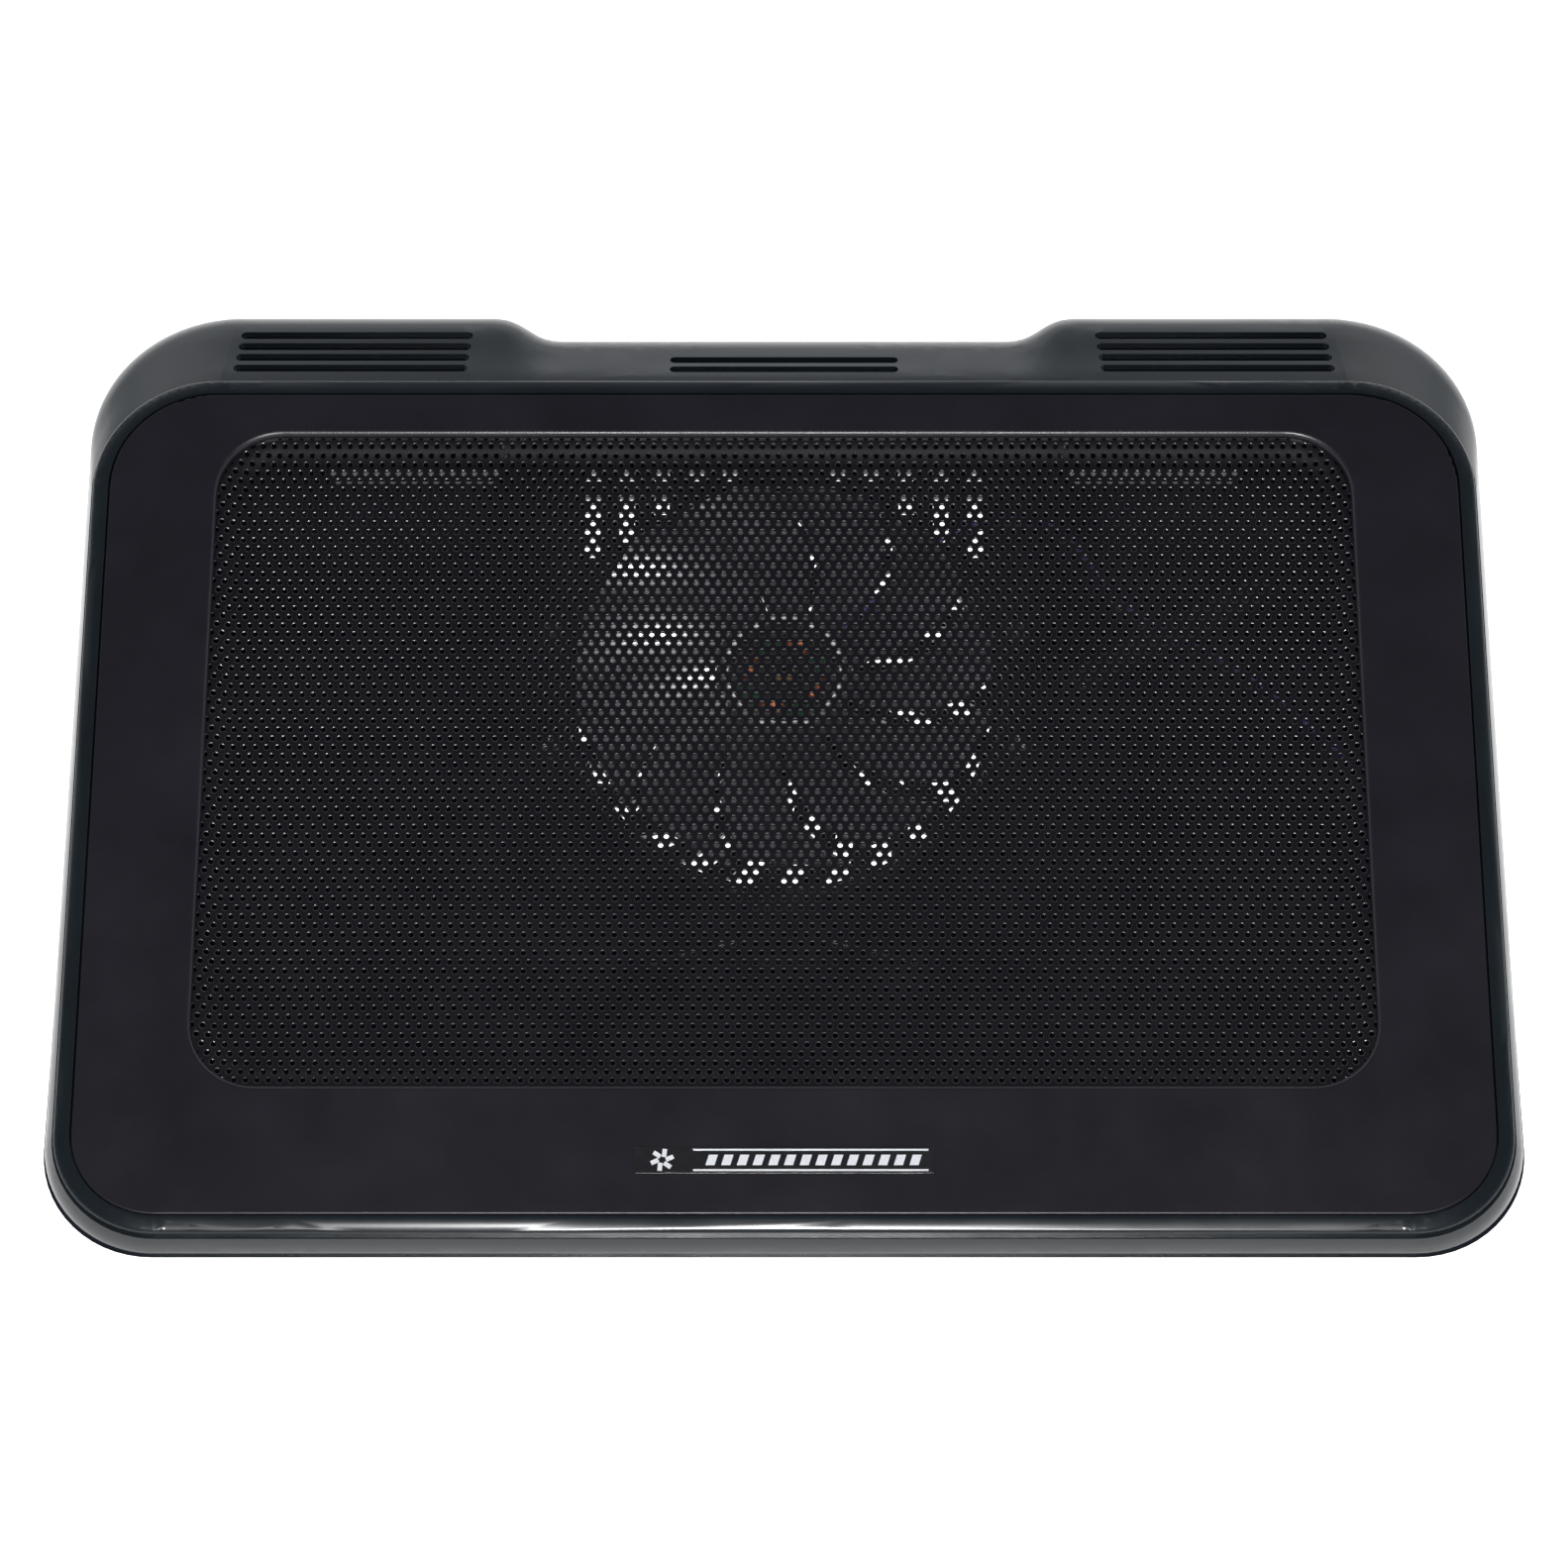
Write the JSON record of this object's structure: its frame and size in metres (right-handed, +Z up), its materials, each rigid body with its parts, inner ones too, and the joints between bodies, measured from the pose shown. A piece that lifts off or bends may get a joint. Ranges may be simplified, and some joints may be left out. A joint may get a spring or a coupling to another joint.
{
  "type": "laptop cooling pad",
  "caption": "Wedge-shaped laptop cooling pad: a plastic case with a perforated metal top, a fan that draws air from a tunnel underneath, side ports and a slide switch.",
  "frame": {"origin": "on the table under the middle of the whole object", "axes": "+X right, +Y towards the raised back, +Z up"},
  "size_m": [0.3624, 0.2648, 0.0507],
  "materials": {
    "case_satin": "satin, finely moulded",
    "bezel_matt": "matt, spark-eroded texture",
    "mesh_paint": "satin powder coat",
    "plate_black": "gloss",
    "trim_bright": "satin chrome",
    "shell_satin": "satin, finely moulded",
    "screw_steel": "zinc plated",
    "fan_black": "satin",
    "rotor_smoke": "clear smoke, moulded",
    "yoke_steel": "plated",
    "magnet": "bonded ferrite",
    "shaft_steel": "ground",
    "clear_nylon": "natural nylon",
    "bush_bronze": "sintered bronze",
    "core_iron": "laminated",
    "bobbin_white": "natural",
    "copper_wire": "enamelled copper",
    "board_green": "solder mask",
    "lead_blue": "PVC",
    "lead_dark": "PVC",
    "socket_steel": "nickel plated",
    "socket_black": "moulded",
    "slider_black": "moulded",
    "foot_rubber": "matt"
  },
  "bodies": {
    "base": {"top_cover": "case_satin", "top_bezel": "bezel_matt", "mesh_panel": "mesh_paint", "name_plate": "plate_black", "name_plate_trim": "trim_bright", "bottom_shell": "shell_satin", "air_duct": "shell_satin", "shell_screws": "screw_steel", "fan_frame": "fan_black", "bearing_bush": "bush_bronze", "stator_core": "core_iron", "stator_bobbin": "bobbin_white", "stator_coils": "copper_wire", "fan_circuit_board": "board_green", "fan_screws": "screw_steel", "lead_supply": "lead_blue", "lead_return": "lead_dark", "lead_clip": "fan_black", "port_board": "board_green", "usb_socket_shell": "socket_steel", "usb_socket_tongue": "socket_black", "power_inlet_shell": "socket_steel", "power_inlet_tongue": "socket_black", "switch_body": "socket_steel", "board_screws": "screw_steel", "foot_front_left": "foot_rubber", "foot_front_right": "foot_rubber", "foot_rear_left": "foot_rubber", "foot_rear_right": "foot_rubber"},
    "impeller": {"fan_rotor": "rotor_smoke", "rotor_yoke": "yoke_steel", "rotor_magnet": "magnet", "fan_shaft": "shaft_steel", "shaft_retainer": "clear_nylon"},
    "switch": {"switch_slider": "slider_black"}
  },
  "joints": [
    {"name": "fan_spin", "type": "hinge", "parent": "base", "child": "impeller", "pos_m": [0, 0.02323, 0.03224], "axis": [0, -0.1288, 0.9917], "continuous": true},
    {"name": "switch_slide", "type": "slide", "parent": "base", "child": "switch", "axis": [0, 1, 0], "range_m": [0, 0.0024]}
  ]
}
